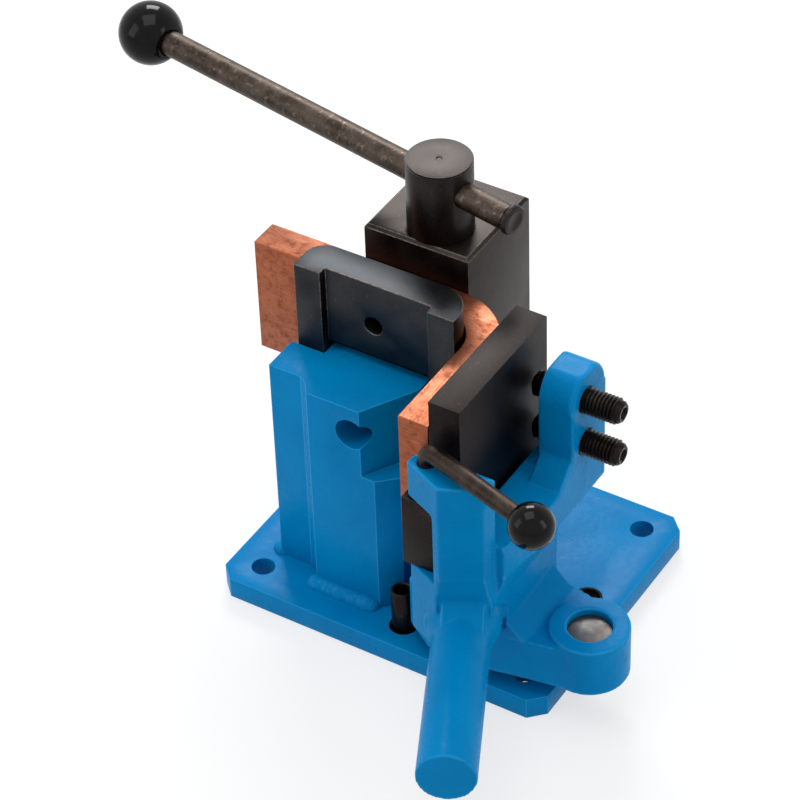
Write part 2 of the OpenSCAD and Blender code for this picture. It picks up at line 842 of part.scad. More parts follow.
module knuckle_pin() {
    color("#8A8785") translate([knuckle[0], knuckle[1], knuckle_z + knuckle_pin_foot])
        cylinder(d = knuckle_pin_d, h = knuckle_h - knuckle_pin_foot - knuckle_pin_drop);
}

module presser_plate() {
    color("#3A3636") difference() {
        box([plate_x, plate_y0, plate_z], [plate_x + plate_t, plate_y1, plate_z + plate_h]);
        for (z = foot_screw_z)
            rod_y(foot_screw_r, plate_y0 - 1, plate_y0 + foot_screw_len, foot_screw_x, z);
    }
}

// The lug that the cam pin draws, screwed to the front end of the presser plate
module presser_foot() {
    color("#2E2A28") difference() {
        union() {
            box([lug_x, lug_y, plate_z], [plate_x + plate_t, plate_y0 - lug_relief, plate_z + lug_h]);
            box([plate_x, lug_y + foot_depth, plate_z], [plate_x + plate_t, plate_y0, plate_z + lug_h]);
        }
        for (z = foot_screw_z) {
            rod_y(foot_screw_r + seat, lug_y - 1, plate_y0 + 1, foot_screw_x, z);
            rod_y(foot_head_r + head_play, lug_y - 1, lug_y + foot_head_h + seat, foot_screw_x, z);
        }
        translate([pin_x + pin_throw * cos(pin_phase), pin_y + pin_throw * sin(pin_phase), 0]) {
            for (dy = [0, slot_more]) translate([0, dy - slot_less, 0])
                cylinder(r = pin_cam_r + slot_play, h = plate_z + lug_h + 1);
            translate([-pin_cam_r - slot_play, -slot_less, 0])
                cube([2 * (pin_cam_r + slot_play), slot_more, plate_z + lug_h + 1]);
        }
    }
}

module foot_screws() {
    color("#6A6765") for (z = foot_screw_z)
        translate([foot_screw_x, lug_y + seat, z]) rotate([-90, 0, 0])
            cap_screw(foot_screw_r - fit, foot_screw_len, foot_head_r, foot_head_h);
}

module set_screw_upper() {
    color("#2E2A28") translate([set_x, set_y, set_z]) rotate([0, 90, 0]) set_screw();
}

module set_screw_lower() {
    color("#2E2A28") translate([set_x, set_y, set_z - set_pitch]) rotate([0, 90, 0]) set_screw();
}

// Pin of the quick release: its middle is an eccentric in the lug, its foot turns in the arm
module cam_pin() {
    mid = plate_z + lug_h + pin_step;
    color("#6A5E55") {
        translate([pin_x + pin_throw * cos(pin_phase), pin_y + pin_throw * sin(pin_phase),
            rail_z + pin_lift])
            cylinder(r = pin_cam_r, h = mid - rail_z);
        translate([pin_x, pin_y, mid]) cylinder(r = pin_r, h = post_top + rod_lift - mid);
        translate([pin_x, pin_y, rail_z - pin_deep]) cylinder(r = pin_foot_r, h = mid - rail_z);
    }
}

module cam_rod() {
    foot = post_top + rod_lift;
    r = rod_d / 2;
    color("#6A5E55") translate([pin_x, pin_y, 0]) rotate(rod_turn) {
        translate([0, 0, foot]) cylinder(r = r, h = rod_z - rod_bend - foot);
        translate([rod_bend, 0, rod_z - rod_bend]) rotate([90, 0, 0]) rotate([0, 0, 90])
            rotate_extrude(angle = 90) translate([rod_bend, 0]) circle(r = r);
        translate([rod_bend, 0, rod_z]) rotate([0, 90, 0]) cylinder(r = r, h = rod_reach - rod_bend);
    }
}

module cam_knob() {
    color("#1B1A1A") translate([pin_x, pin_y, rod_z]) rotate(rod_turn) translate([rod_reach, 0, 0])
        rotate([0, 90, 0]) ball_knob(cam_ball_d, rod_d / 2 + knob_neck / 2, rod_d / 2 + fit, seat);
}

module copper_bar() {
    r0 = bar_fold_r;
    r1 = bar_fold_r + bar_t;
    cx = leg_x - r0;
    cy = tail_y - r0;
    color("#B5653F") translate([0, 0, bar_z]) linear_extrude(bar_h) union() {
        translate([leg_x - bar_tail, tail_y]) square([bar_tail - r0, bar_t]);
        translate([leg_x, bar_end_y]) square([bar_t, bar_leg - r0]);
        intersection() {
            difference() {
                translate([cx, cy]) circle(r = r1);
                translate([cx, cy]) circle(r = r0);
            }
            translate([cx, cy]) square([r1 + 1, r1 + 1]);
        }
    }
}

base_plate();
column();
weld_beads();
bending_die();
die_screw();
shaft_bush();
pivot_pin();
thrust_washer();
pivot_washer();
pivot_screw();
stop_bushes();
clamp_block();
jaw_key();
eccentric_shaft();
shaft_washer();
shaft_nut();
lever_bar();
lever_knob();
lever_cap();
swing_arm();
pivot_bush_lower();
pivot_bush_upper();
knuckle_pin();
presser_plate();
presser_foot();
foot_screws();
set_screw_upper();
set_screw_lower();
cam_pin();
cam_rod();
cam_knob();
stop_pin();
copper_bar();
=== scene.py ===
"""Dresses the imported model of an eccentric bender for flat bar.

Every piece is made in metres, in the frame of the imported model. Sizes below are in
millimetres and turned to metres by MM where a piece is made.
"""
import math

import bmesh
import bpy
from mathutils import Matrix, Vector


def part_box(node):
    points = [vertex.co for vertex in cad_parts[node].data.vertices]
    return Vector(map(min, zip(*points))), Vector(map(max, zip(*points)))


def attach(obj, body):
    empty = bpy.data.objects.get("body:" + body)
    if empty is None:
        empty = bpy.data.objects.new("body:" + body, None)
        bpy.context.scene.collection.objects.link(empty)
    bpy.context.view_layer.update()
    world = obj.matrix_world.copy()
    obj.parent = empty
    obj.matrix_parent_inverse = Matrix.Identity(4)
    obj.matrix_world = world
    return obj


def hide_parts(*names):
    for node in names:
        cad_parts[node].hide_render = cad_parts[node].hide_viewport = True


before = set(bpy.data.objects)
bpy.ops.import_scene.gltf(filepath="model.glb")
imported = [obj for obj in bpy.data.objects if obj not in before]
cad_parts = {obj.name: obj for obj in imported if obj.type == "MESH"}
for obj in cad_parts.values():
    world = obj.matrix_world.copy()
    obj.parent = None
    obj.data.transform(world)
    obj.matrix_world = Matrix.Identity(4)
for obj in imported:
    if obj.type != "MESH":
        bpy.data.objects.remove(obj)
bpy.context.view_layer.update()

MM = 0.001


def box_mm(node):
    """The lowest and the highest corner of a solid of the model, in millimetres."""
    return [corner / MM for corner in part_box(node)]


def middle_mm(node):
    """The middle of a solid's box, in millimetres."""
    low, high = box_mm(node)
    return (low + high) / 2


# Camera

# Where the picture was taken from, in metres; its tilt, lean and turn; and the shift of its frame
CAMERA_AT = (0.6064, -0.9766, 1.0797)
CAMERA_TURN_DEG = (49.627, 1.579, 31.455)
CAMERA_SHIFT = (-0.0075, -0.0044)
SENSOR_MM = 36.0
PICTURE_PX = 800
FOCAL_PX = 3410.0

camera = bpy.data.objects.new("camera", bpy.data.cameras.new("camera"))
bpy.context.scene.collection.objects.link(camera)
camera.location = CAMERA_AT
camera.rotation_euler = [math.radians(angle) for angle in CAMERA_TURN_DEG]
camera.data.sensor_width = SENSOR_MM
camera.data.lens = FOCAL_PX / PICTURE_PX * SENSOR_MM
camera.data.shift_x, camera.data.shift_y = CAMERA_SHIFT
camera.data.clip_end = 20
bpy.context.scene.camera = camera

# Patterns and layers for the materials


def linear(code):
    """Turns an sRGB hex value into the linear colour that a shader takes."""
    parts = [int(code[i:i + 2], 16) / 255 for i in (1, 3, 5)]
    return (*[c / 12.92 if c <= 0.04045 else ((c + 0.055) / 1.055) ** 2.4 for c in parts], 1)


def add(tree, kind, sockets=None, **settings):
    """Adds a node with its settings; a socket takes a value or another node's socket."""
    node = tree.nodes.new(kind)
    for name, value in settings.items():
        setattr(node, name, value)
    for name, value in (sockets or {}).items():
        if isinstance(value, bpy.types.NodeSocket):
            tree.links.new(value, node.inputs[name])
        else:
            node.inputs[name].default_value = value
    return node


def new_material(name):
    """Starts a material; returns it with its node tree, its shader and the Object coordinates."""
    material = bpy.data.materials.new(name)
    material.use_nodes = True
    tree = material.node_tree
    shader = tree.nodes["Principled BSDF"]
    place = add(tree, "ShaderNodeTexCoord").outputs["Object"]
    return material, tree, shader, place


def grain(tree, place, size_mm, detail=3.0, stretch=(1, 1, 1), rough=0.55):
    """Noise with lumps size_mm across, drawn out along each axis whose factor is small."""
    mapped = add(tree, "ShaderNodeMapping", {"Vector": place, "Scale": stretch}).outputs["Vector"]
    return add(tree, "ShaderNodeTexNoise", {
        "Vector": mapped, "Scale": 1 / (size_mm * MM), "Detail": detail, "Roughness": rough,
    }).outputs["Fac"]


def laid_over(tree, under, over, pattern, low, high, most=1.0):
    """Lays a colour over another where a pattern rises from low to high, up to the share most.

    A mix node's sockets 2 and 3 are its two values, and 6 and 7 its two colours.
    """
    share = add(tree, "ShaderNodeMapRange", {
        "Value": pattern, "From Min": low, "From Max": high, "To Max": most}).outputs["Result"]
    under, over = [linear(c) if isinstance(c, str) else c for c in (under, over)]
    return add(tree, "ShaderNodeMix", {0: share, 6: under, 7: over}, data_type="RGBA").outputs[2]


def coat(tree, shader, colour, pattern, low, high, polished, dull):
    """Gives a shader its colour, and a roughness that rises with a pattern, polished to dull."""
    tree.links.new(colour, shader.inputs["Base Color"])
    rough = add(tree, "ShaderNodeMapRange", {
        "Value": pattern, "From Min": low, "From Max": high, "To Min": polished, "To Max": dull})
    tree.links.new(rough.outputs["Result"], shader.inputs["Roughness"])


def bumped(tree, shader, heights):
    """Chains bumps, each a height socket with its depth in mm, into the shader's normal."""
    normal = None
    for height, depth_mm in heights:
        sockets = {"Height": height, "Distance": depth_mm * MM, "Strength": 1.0}
        if normal:
            sockets["Normal"] = normal
        normal = add(tree, "ShaderNodeBump", sockets).outputs["Normal"]
    tree.links.new(normal, shader.inputs["Normal"])


# Materials. The attribute "edge" says how far a point of a piece lies on an outer edge, 0 to 1


def enamel(name, lump_mm, sheen):
    """Sprayed enamel on metal: satin over orange peel and lumps, with a painted highlight on outer
    edges.
    """
    material, tree, shader, place = new_material(name)
    drift = grain(tree, place, 30, detail=2)
    dust = grain(tree, place, 2.5, detail=4)
    edge = add(tree, "ShaderNodeAttribute", attribute_name="edge").outputs["Fac"]
    paint = laid_over(tree, "#0077B2", "#007FBA", drift, 0.35, 0.65)
    paint = laid_over(tree, paint, "#00659F", dust, 0.62, 0.8, most=0.3)
    # Outer edges are painted lighter: a painted highlight where the lamps would catch them
    paint = laid_over(tree, paint, "#3FA6DE", edge, 0, 1, most=0.5)
    coat(tree, shader, paint, dust, 0.3, 0.7, polished=0.24, dull=0.36)
    shader.inputs["IOR"].default_value = 1.5
    shader.inputs["Specular IOR Level"].default_value = sheen
    lumps = grain(tree, place, 7, detail=3)
    orange_peel = grain(tree, place, 1.6, detail=2)
    bumped(tree, shader, [(lumps, lump_mm), (orange_peel, 0.06)])
    return material


def black_oxide(name, dark, light, rough, streak=(1, 1, 1)):
    """Blackened steel: a thin brown-black oxide, cloudy, with machining lines and rubbed edges.

    The lines lie half a millimetre apart, coarser than a cutter leaves them, so that they show.
    """
    material, tree, shader, place = new_material(name)
    cloud = grain(tree, place, 22, detail=4)
    speck = grain(tree, place, 1.4, detail=5)
    lines = grain(tree, place, 0.5, detail=2, stretch=streak)
    edge = add(tree, "ShaderNodeAttribute", attribute_name="edge").outputs["Fac"]
    wear = add(tree, "ShaderNodeMapRange", {
        "Value": speck, "From Min": 0.35, "From Max": 0.6, "To Min": 0.15, "To Max": 0.7,
    }).outputs["Result"]
    oxide = laid_over(tree, dark, light, cloud, 0.3, 0.7)
    oxide = laid_over(tree, oxide, "#5A5048", speck, 0.6, 0.78, most=0.4)
    oxide = laid_over(tree, oxide, "#6B625B", edge, 0, 1, most=wear)
    coat(tree, shader, oxide, cloud, 0.25, 0.75, polished=rough - 0.08, dull=rough + 0.1)
    shader.inputs["Metallic"].default_value = 1.0
    bumped(tree, shader, [(lines, 0.015), (speck, 0.02)])
    return material


# The folded leg's drawn lines turn with the bar between these depths, in metres
BEND_FROM_Y = -0.02
BEND_TO_Y = -0.034


def rolled_copper():
    """Bare copper flat bar: drawn lines along its length, dull patches and random scratches, and a
    painted sheen on its upward faces.

    The lines are a third of a millimetre wide, coarser than on the real bar, so that they show.
    """
    material, tree, shader, place = new_material("rolled_copper")
    line_mm = 0.35
    depth = add(tree, "ShaderNodeSeparateXYZ", {"Vector": place}).outputs["Y"]
    on_leg = add(tree, "ShaderNodeMapRange", {
        "Value": depth, "From Min": BEND_FROM_Y, "From Max": BEND_TO_Y}).outputs["Result"]
    side = grain(tree, place, line_mm, detail=4, stretch=(0.06, 0.06, 1))
    top_tail = grain(tree, place, line_mm, detail=4, stretch=(0.06, 1, 0.06))
    top_leg = grain(tree, place, line_mm, detail=4, stretch=(1, 0.06, 0.06))
    top = add(tree, "ShaderNodeMix", {0: on_leg, 2: top_tail, 3: top_leg}).outputs[0]
    normal = add(tree, "ShaderNodeNewGeometry").outputs["Normal"]
    facing = add(tree, "ShaderNodeSeparateXYZ", {"Vector": normal}).outputs["Z"]
    up = add(tree, "ShaderNodeMapRange", {
        "Value": facing, "From Min": 0.5, "From Max": 0.9}).outputs["Result"]
    drawn = add(tree, "ShaderNodeMix", {0: up, 2: side, 3: top}).outputs[0]
    # Upward faces get more of the light line colour than the sides: a painted sheen where the lamps
    # shine on the top
    painted_top_sheen = add(tree, "ShaderNodeMapRange", {
        "Value": up, "To Min": 0.22, "To Max": 0.42}).outputs["Result"]
    patch = grain(tree, place, 14, detail=6, rough=0.65)
    tarnish = grain(tree, place, 4, detail=5, rough=0.7)
    scratch = grain(tree, place, 5, detail=2, stretch=(1, 1, 9), rough=0.8)
    tone = laid_over(tree, "#874327", "#9C573A", patch, 0.35, 0.65)
    tone = laid_over(tree, tone, "#C4937B", drawn, 0.35, 0.7, most=painted_top_sheen)
    tone = laid_over(tree, tone, "#6B3620", tarnish, 0.5, 0.68, most=0.7)
    tone = laid_over(tree, tone, "#4A2A1C", scratch, 0.66, 0.72, most=0.65)
    coat(tree, shader, tone, tarnish, 0.3, 0.7, polished=0.34, dull=0.55)
    shader.inputs["Metallic"].default_value = 1.0
    bumped(tree, shader, [(drawn, 0.008), (scratch, 0.015)])
    return material


def mill_scale(name, dark, worn, flecked):
    """Round bar as it left the mill: brown-grey scale, pitted, with bare flecks and worn spots."""
    material, tree, shader, place = new_material(name)
    blotch = grain(tree, place, 8, detail=5, rough=0.6)
    pit = grain(tree, place, 1.2, detail=4)
    fleck = grain(tree, place, 2.2, detail=3, rough=0.5)
    scale = laid_over(tree, dark, worn, blotch, 0.35, 0.65)
    scale = laid_over(tree, scale, "#1E1917", pit, 0.58, 0.72, most=0.7)
    scale = laid_over(tree, scale, "#82746A", fleck, 0.58, 0.72, most=flecked)
    coat(tree, shader, scale, blotch, 0.3, 0.7, polished=0.34, dull=0.55)
    shader.inputs["Metallic"].default_value = 1.0
    crust = grain(tree, place, 0.6, detail=2)
    bumped(tree, shader, [(pit, 0.03), (crust, 0.01)])
    return material


def turned_metal(name, tone, worn, rough, node):
    """Metal off the lathe: rings round the axis of a node catch the light, under a few stains.

    The rings are 1 mm apart, coarser than a tool leaves them, so that they show.
    """
    material, tree, shader, place = new_material(name)
    ring_mm = 1.0
    # At a scale of 1 the texture's rings lie this far apart
    own_period = math.pi / 10
    axis = middle_mm(node)
    moved = add(tree, "ShaderNodeMapping", {
        "Vector": place, "Location": (-axis.x * MM, -axis.y * MM, 0)}).outputs["Vector"]
    rings = add(tree, "ShaderNodeTexWave", {
        "Vector": moved, "Scale": own_period / (ring_mm * MM), "Distortion": 0.4, "Detail": 2.0,
        "Detail Scale": 2.0}, wave_type="RINGS", rings_direction="Z").outputs["Fac"]
    stain = grain(tree, place, 6, detail=4)
    base = laid_over(tree, tone, worn, stain, 0.3, 0.75)
    coat(tree, shader, base, stain, 0.3, 0.7, polished=rough, dull=rough + 0.15)
    shader.inputs["Metallic"].default_value = 1.0
    bumped(tree, shader, [(rings, 0.012)])
    return material


def phenolic():
    """Black thermoset of the ball knobs: pressed in a polished mould, so it mirrors the lamps."""
    material, tree, shader, place = new_material("phenolic")
    dust = grain(tree, place, 3, detail=4)
    black = laid_over(tree, "#080707", "#110F0F", dust, 0.4, 0.8)
    coat(tree, shader, black, dust, 0.3, 0.8, polished=0.08, dull=0.16)
    shader.inputs["IOR"].default_value = 1.5
    shader.inputs["Specular IOR Level"].default_value = 0.13
    flow = grain(tree, place, 9, detail=1)
    bumped(tree, shader, [(flow, 0.02)])
    return material


# The castings are lumpier under their enamel than the rolled base plate
CAST_ENAMEL = enamel("cast_enamel", lump_mm=0.32, sheen=0.035)
PLATE_ENAMEL = enamel("plate_enamel", lump_mm=0.1, sheen=0.045)
# The jaw's milling lines run sideways, the die's grinding lines upwards; shoe and screws are darker
BLACK_STEEL = black_oxide("black_oxide_steel", "#242120", "#383331", 0.4)
JAW_STEEL = black_oxide("milled_oxide_steel", "#221F1E", "#3B3633", 0.42, (0.05, 1, 1))
DIE_STEEL = black_oxide("ground_oxide_steel", "#26282A", "#393B3E", 0.4, (1, 1, 0.05))
SHOE_STEEL = black_oxide("shoe_oxide_steel", "#1A1716", "#2D2826", 0.46)
SCREW_STEEL = black_oxide("screw_oxide_steel", "#151312", "#282422", 0.34)
COPPER = rolled_copper()
# The lever's scale is flecked with bare spots, the thin cam rod's hardly is
MILL_SCALE = mill_scale("lever_mill_scale", "#302924", "#4E453E", flecked=0.4)
ROD_SCALE = mill_scale("rod_mill_scale", "#2A2320", "#3E3530", flecked=0.05)
PHENOLIC = phenolic()
PIN_STEEL = turned_metal("turned_steel", "#6E6C6A", "#57514D", 0.34, "knuckle_pin")
PIVOT_STEEL = turned_metal("pivot_steel", "#96938F", "#77726C", 0.32, "pivot_pin")
BRONZE = turned_metal("bearing_bronze", "#B9854F", "#8A5E35", 0.35, "pivot_pin")
# The stop bushes' bronze is darkened to near black: dirt on the front bush's rim, and painted shade
# in the second bush, whose hole shows only dark
DIRTY_AND_SHADED_BRONZE = turned_metal("dirty_and_shaded_bronze", "#1E1613", "#120D0A", 0.45, "pivot_pin")

# Making pieces

# Vertices that are closer than this, in metres, are one
MERGE_M = 1e-6
# Faces that turn by less than this are one flat face
FLAT_DEG = 0.5


def dressed(name, mesh, material, body, replaced, sharp_deg=40):
    """Makes the object of a finished mesh and says what it rides on and stands for."""
    mesh.materials.clear()
    mesh.materials.append(material)
    mesh.shade_smooth()
    mesh.set_sharp_from_angle(angle=math.radians(sharp_deg))
    piece = bpy.data.objects.new(name, mesh)
    bpy.context.scene.collection.objects.link(piece)
    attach(piece, body)
    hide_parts(*replaced)
    return piece


def as_mesh(name, bm):
    """Turns a bmesh into a mesh and lets the bmesh go."""
    mesh = bpy.data.meshes.new(name)
    bm.to_mesh(mesh)
    bm.free()
    return mesh


def join(bm, part):
    """Adds a second bmesh to the first."""
    mesh = as_mesh("part", part)
    bm.from_mesh(mesh)
    bpy.data.meshes.remove(mesh)


def merged_copy(node):
    """A bmesh of a solid of the model, with its loose triangles merged."""
    bm = bmesh.new()
    bm.from_mesh(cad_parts[node].data)
    bmesh.ops.remove_doubles(bm, verts=bm.verts, dist=MERGE_M)
    return bm


def eased(node, material, body, edge_mm, segments=3, from_deg=28, bm=None):
    """Stands for a solid of the model, its sharp edges broken as a file or a wheel leaves them."""
    bm = bm or merged_copy(node)
    flat = math.radians(FLAT_DEG)
    bmesh.ops.dissolve_limit(bm, angle_limit=flat, verts=bm.verts, edges=bm.edges)
    sharp = [e for e in bm.edges
             if len(e.link_faces) == 2 and e.calc_face_angle() > math.radians(from_deg)]
    edge = bm.faces.layers.float.new("edge")
    cut = bmesh.ops.bevel(bm, geom=sharp, offset=edge_mm * MM, offset_type="OFFSET",
                          segments=segments, profile=0.5, affect="EDGES", material=-1,
                          clamp_overlap=True)
    for face in cut["faces"]:
        face[edge] = 1.0
    bmesh.ops.triangulate(bm, faces=[f for f in bm.faces if len(f.verts) > 4])
    name = node + "_eased"
    return dressed(name, as_mesh(name, bm), material, body, (node,))


def spun(profile, foot, along, steps=64):
    """Spins a profile of (radius, height) pairs about an axis that starts at foot; all in mm."""
    bm = bmesh.new()
    verts = [bm.verts.new((r * MM, 0, h * MM)) for r, h in profile]
    edges = [bm.edges.new(pair) for pair in zip(verts, verts[1:])]
    bmesh.ops.spin(bm, geom=verts + edges, cent=(0, 0, 0), axis=(0, 0, 1), dvec=(0, 0, 0),
                   angle=2 * math.pi, steps=steps, use_merge=True)
    bmesh.ops.remove_doubles(bm, verts=bm.verts, dist=MERGE_M)
    bmesh.ops.recalc_face_normals(bm, faces=bm.faces)
    aim = Vector(along).to_track_quat("Z", "Y").to_matrix().to_4x4()
    bmesh.ops.transform(bm, matrix=Matrix.Translation(Vector(foot) * MM) @ aim, verts=bm.verts)
    return bm


def turned(name, profile, foot, along, material, body, replaced):
    """A piece off the lathe, with a profile as in spun."""
    mesh = as_mesh(name, spun(profile, foot, along))
    return dressed(name, mesh, material, body, replaced)


def block(bm, middle, size, turn=0.0):
    """Adds a box by its middle and size in mm, turned about its upright axis."""
    place = Matrix.Translation(Vector(middle) * MM) @ Matrix.Rotation(turn, 4, "Z")
    bmesh.ops.create_cube(bm, size=1, matrix=place @ Matrix.Diagonal((*(Vector(size) * MM), 1)))


def wedge(bm, corners, start, end):
    """Adds a three-cornered bar between two points: a fillet, once the skin is smoothed."""
    ends = [[bm.verts.new((Vector(p) + Vector(c)) * MM) for c in corners] for p in (start, end)]
    caps = [bm.faces.new(end_verts) for end_verts in ends]
    loops = [list(cap.edges) for cap in caps]
    bmesh.ops.bridge_loops(bm, edges=loops[0] + loops[1])
    made = {f for ring in ends for v in ring for f in v.link_faces}
    bmesh.ops.recalc_face_normals(bm, faces=list(made))


# A vertex of a skin lies on an outer edge when it stands out from its neighbours. LIFT_UNIT is that
# height in cells of the skin's grid, LIFT_OFF is taken off for rough flat ground, and a mesh edge
# longer than LONG_EDGE cells belongs to a milled face
LIFT_UNIT = 0.12
LIFT_OFF = 0.35
LONG_EDGE = 4


def mark_edges(mesh, grid_mm):
    """Writes how far each vertex of a smoothed skin lies on an outer edge, 0 to 1."""
    bm = bmesh.new()
    bm.from_mesh(mesh)
    edge = bm.verts.layers.float.new("edge")
    for vert in bm.verts:
        near = [e.other_vert(vert).co for e in vert.link_edges]
        if max((vert.co - co).length for co in near) > LONG_EDGE * grid_mm * MM:
            continue
        lift = (vert.co - sum(near, Vector()) / len(near)).dot(vert.normal)
        vert[edge] = min(1.0, max(0.0, lift / (LIFT_UNIT * grid_mm * MM) - LIFT_OFF))
    bm.to_mesh(mesh)
    bm.free()


def softened(name, bm, material, body, replaced, grid_mm, rounds, keep, milled=()):
    """Runs edges and corners together as a casting's do.

    The pieces of bm become one skin on a grid, which is smoothed in rounds, and keep is the share of
    its faces that stay. Milled boxes, each a lower and an upper corner in mm, are cut out of it.
    """
    rough = bpy.data.objects.new(name + "_rough", as_mesh(name + "_rough", bm))
    bpy.context.scene.collection.objects.link(rough)
    skin = rough.modifiers.new("skin", "REMESH")
    skin.mode = "VOXEL"
    skin.voxel_size = grid_mm * MM
    smooth = rough.modifiers.new("smooth", "SMOOTH")
    smooth.factor = 0.5
    smooth.iterations = rounds
    thin = rough.modifiers.new("thin", "DECIMATE")
    thin.ratio = keep
    cutters = []
    for low, high in milled:
        box = bmesh.new()
        block(box, (Vector(low) + Vector(high)) / 2, Vector(high) - Vector(low))
        cutters.append(bpy.data.objects.new("cutter", as_mesh("cutter", box)))
        bpy.context.scene.collection.objects.link(cutters[-1])
        cut = rough.modifiers.new("cut", "BOOLEAN")
        cut.operation = "DIFFERENCE"
        cut.solver = "EXACT"
        cut.object = cutters[-1]
    seen = rough.evaluated_get(bpy.context.evaluated_depsgraph_get())
    result = bpy.data.meshes.new_from_object(seen)
    result.name = name
    for used in (rough, *cutters):
        bpy.data.meshes.remove(used.data)
    mark_edges(result, grid_mm)
    return dressed(name, result, material, body, replaced, sharp_deg=60)


# Base plate and column

eased("base_plate", PLATE_ENAMEL, "base", edge_mm=0.9, segments=4)
eased("column", CAST_ENAMEL, "base", edge_mm=0.9, segments=3, from_deg=15)

# Weld beads: overlapping puddles along the foot of the column, run together. Each lies a little
# higher or lower than the last and is a little larger or smaller

column_low, column_high = box_mm("column")
FRONT_BEAD_Y = column_low.y - 0.8
LEFT_BEAD_X = column_low.x - 0.7
REAR_BEAD_Y = column_high.y + 0.6
BEADS = [
    ((-41, FRONT_BEAD_Y), (-13, FRONT_BEAD_Y)),
    ((LEFT_BEAD_X, -39), (LEFT_BEAD_X, -27)),
    ((-55, REAR_BEAD_Y), (-45, REAR_BEAD_Y)),
]
BEAD_R = 5.0
BEAD_STEP = 1.8
BEAD_WAVER = 0.2
BEAD_SQUASH = 0.95

welds = bmesh.new()
for start, end in BEADS:
    start, end = [Vector((x, y, column_low.z)) for x, y in (start, end)]
    count = int((end - start).length / BEAD_STEP)
    for i in range(count + 1):
        at = start.lerp(end, i / count) + Vector((0, 0, BEAD_WAVER * math.sin(2.4 * i)))
        radius = BEAD_R + BEAD_WAVER * math.sin(1.9 * i + 1)
        shape = Matrix.Diagonal((1, BEAD_SQUASH, BEAD_SQUASH, 1))
        bmesh.ops.create_icosphere(welds, subdivisions=3, radius=radius * MM,
                                   matrix=Matrix.Translation(at * MM) @ shape)
softened("weld_runs", welds, CAST_ENAMEL, "base", ("weld_beads",),
         grid_mm=0.4, rounds=3, keep=0.6)

# Die and stop bushes

eased("bending_die", DIE_STEEL, "base", edge_mm=0.45)
eased("die_screw", SCREW_STEEL, "base", edge_mm=0.4, segments=2)
# Painted near black: dirt on the front bush, painted shade in the second one
eased("stop_bushes", DIRTY_AND_SHADED_BRONZE, "base", edge_mm=0.3, segments=2)

# Clamping jaw and eccentric shaft

eased("clamp_block", JAW_STEEL, "jaw", edge_mm=0.3)

# The head of the shaft: radius of its flat top, and how deep its rim and its centre mark go
HEAD_TOP_R = 14.5
HEAD_RIM = 0.5
HEAD_MARK = 0.4


def shaft_with_fine_rim():
    """The shaft's solid, with the rim of its head broken less and its centre mark flatter."""
    bm = merged_copy("eccentric_shaft")
    axis = middle_mm("eccentric_shaft").xy * MM
    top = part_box("eccentric_shaft")[1].z
    for vert in bm.verts:
        out = vert.co.xy - axis
        reach = out.length / MM
        depth = (top - vert.co.z) / MM
        # In the solid the rim ends 1.5 mm below the top, and the centre mark 1.2 mm
        on_step = 0.5 < depth < 1.7
        if depth < 0.1 and reach > 12:
            vert.co.xy = axis + out.normalized() * HEAD_TOP_R * MM
        elif on_step and reach > 14:
            vert.co.z = top - HEAD_RIM * MM
        elif on_step and reach < 2:
            vert.co.z = top - HEAD_MARK * MM
    return bm


eased("eccentric_shaft", BLACK_STEEL, "clamp_shaft", edge_mm=0.25,
      bm=shaft_with_fine_rim())

# Lever: a round bar through the head of the shaft, with a ball at one end and a cap at the other

LEVER_TURN = math.radians(-10.7)
LEVER_DIR = Vector((math.cos(LEVER_TURN), math.sin(LEVER_TURN), 0))
LEVER_MID = Vector((*middle_mm("eccentric_shaft").xy, middle_mm("lever_bar").z))
LEVER_REACH = 178
LEVER_STUB = 40
LEVER_R = 6
BALL_R = 15
BORE_GAP = 0.05


def ball_profile(radius, neck, bore):
    """Ball knob with a pressed neck: a small flat, a shallow collar and the seat of its insert."""
    flat = math.sqrt(radius ** 2 - neck ** 2)
    start = math.asin(neck / radius)
    bore_end = -radius * 0.3
    lip = 0.8
    chamfer = 0.5
    steps = 40
    arc = [(radius * math.sin(a), -radius * math.cos(a))
           for a in [start + (math.pi - start) * i / steps for i in range(steps + 1)]]
    arc[-1] = (0, radius)
    return [(bore, bore_end), (bore, lip - flat), (bore + chamfer, -flat), *arc]


def bar_profile(radius, length, start_edge, end_edge):
    """Round bar with a chamfer at each end."""
    return [(0, 0), (radius - start_edge, 0), (radius, start_edge), (radius, length - end_edge),
            (radius - end_edge, length), (0, length)]


lever_start = LEVER_MID - LEVER_DIR * LEVER_REACH
lever_end = LEVER_MID + LEVER_DIR * LEVER_STUB
turned("lever_ball", ball_profile(BALL_R, LEVER_R + 2, LEVER_R + BORE_GAP), lever_start,
       -LEVER_DIR, PHENOLIC, "lever", ("lever_knob",))
turned("lever_rod", bar_profile(LEVER_R, LEVER_REACH + LEVER_STUB, 0.8, 0.6), lever_start,
       LEVER_DIR, MILL_SCALE, "lever", ("lever_bar",))

# Cap: a plug in the bar's bore and a dished head
CAP_R = 6.8
CAP_T = 3
PLUG_R = 2.4
CAP_PROFILE = [(0, -CAP_T), (PLUG_R, -CAP_T), (PLUG_R, 0), (CAP_R - 0.5, 0), (CAP_R, 0.5),
               (CAP_R, CAP_T - 0.8), (CAP_R - 0.5, CAP_T - 0.2), (CAP_R - 2.2, CAP_T),
               (CAP_R - 2.6, CAP_T - 0.3), (0, CAP_T - 0.4)]
turned("lever_end", CAP_PROFILE, lever_end, LEVER_DIR, BLACK_STEEL, "lever",
       ("lever_cap",))

# Swing arm

arm = merged_copy("swing_arm")

